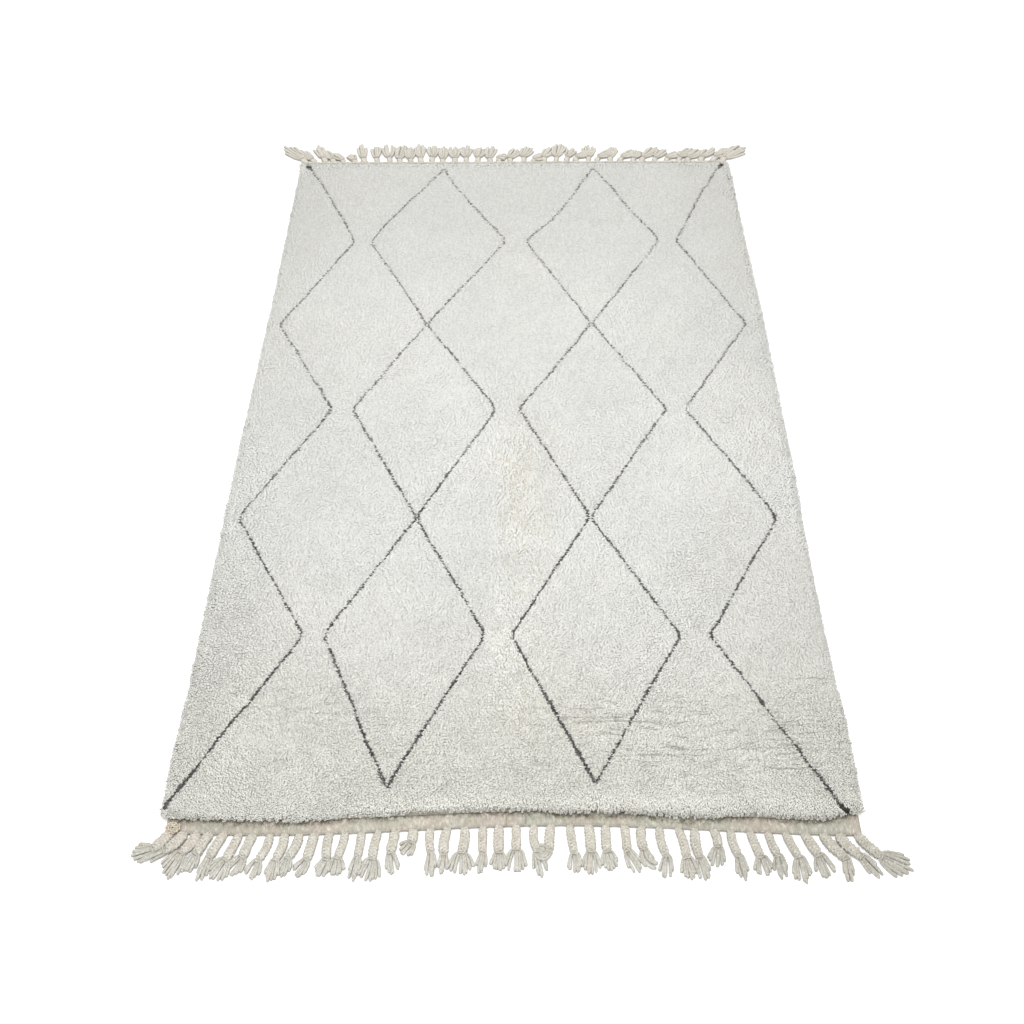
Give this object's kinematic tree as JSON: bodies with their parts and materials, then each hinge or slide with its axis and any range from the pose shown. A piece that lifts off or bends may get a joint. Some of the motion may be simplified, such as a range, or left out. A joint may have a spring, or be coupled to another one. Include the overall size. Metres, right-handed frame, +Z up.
{
  "type": "beni ourain rug",
  "caption": "Flat oblong wool pile rug in ivory with a dark open diamond lattice, a flat-woven band at each end and rows of plaited tassels.",
  "frame": {"origin": "middle of the underside, on the floor that the rug lies on", "axes": "+X across the rug to the viewer's right, +Y along the rug from the near end to the far end, +Z up out of the pile"},
  "size_m": [1.7405, 2.7279, 0.0274],
  "materials": {
    "wool_pile": "matte undyed wool pile",
    "woven_band": "flat-woven undyed wool and plaited warp yarn",
    "selvedge_cord": "twisted wool cord"
  },
  "bodies": {
    "root": {"pile_field": "wool_pile", "fringe_near": "woven_band", "fringe_far": "woven_band", "corner_knot": "selvedge_cord"}
  },
  "joints": []
}
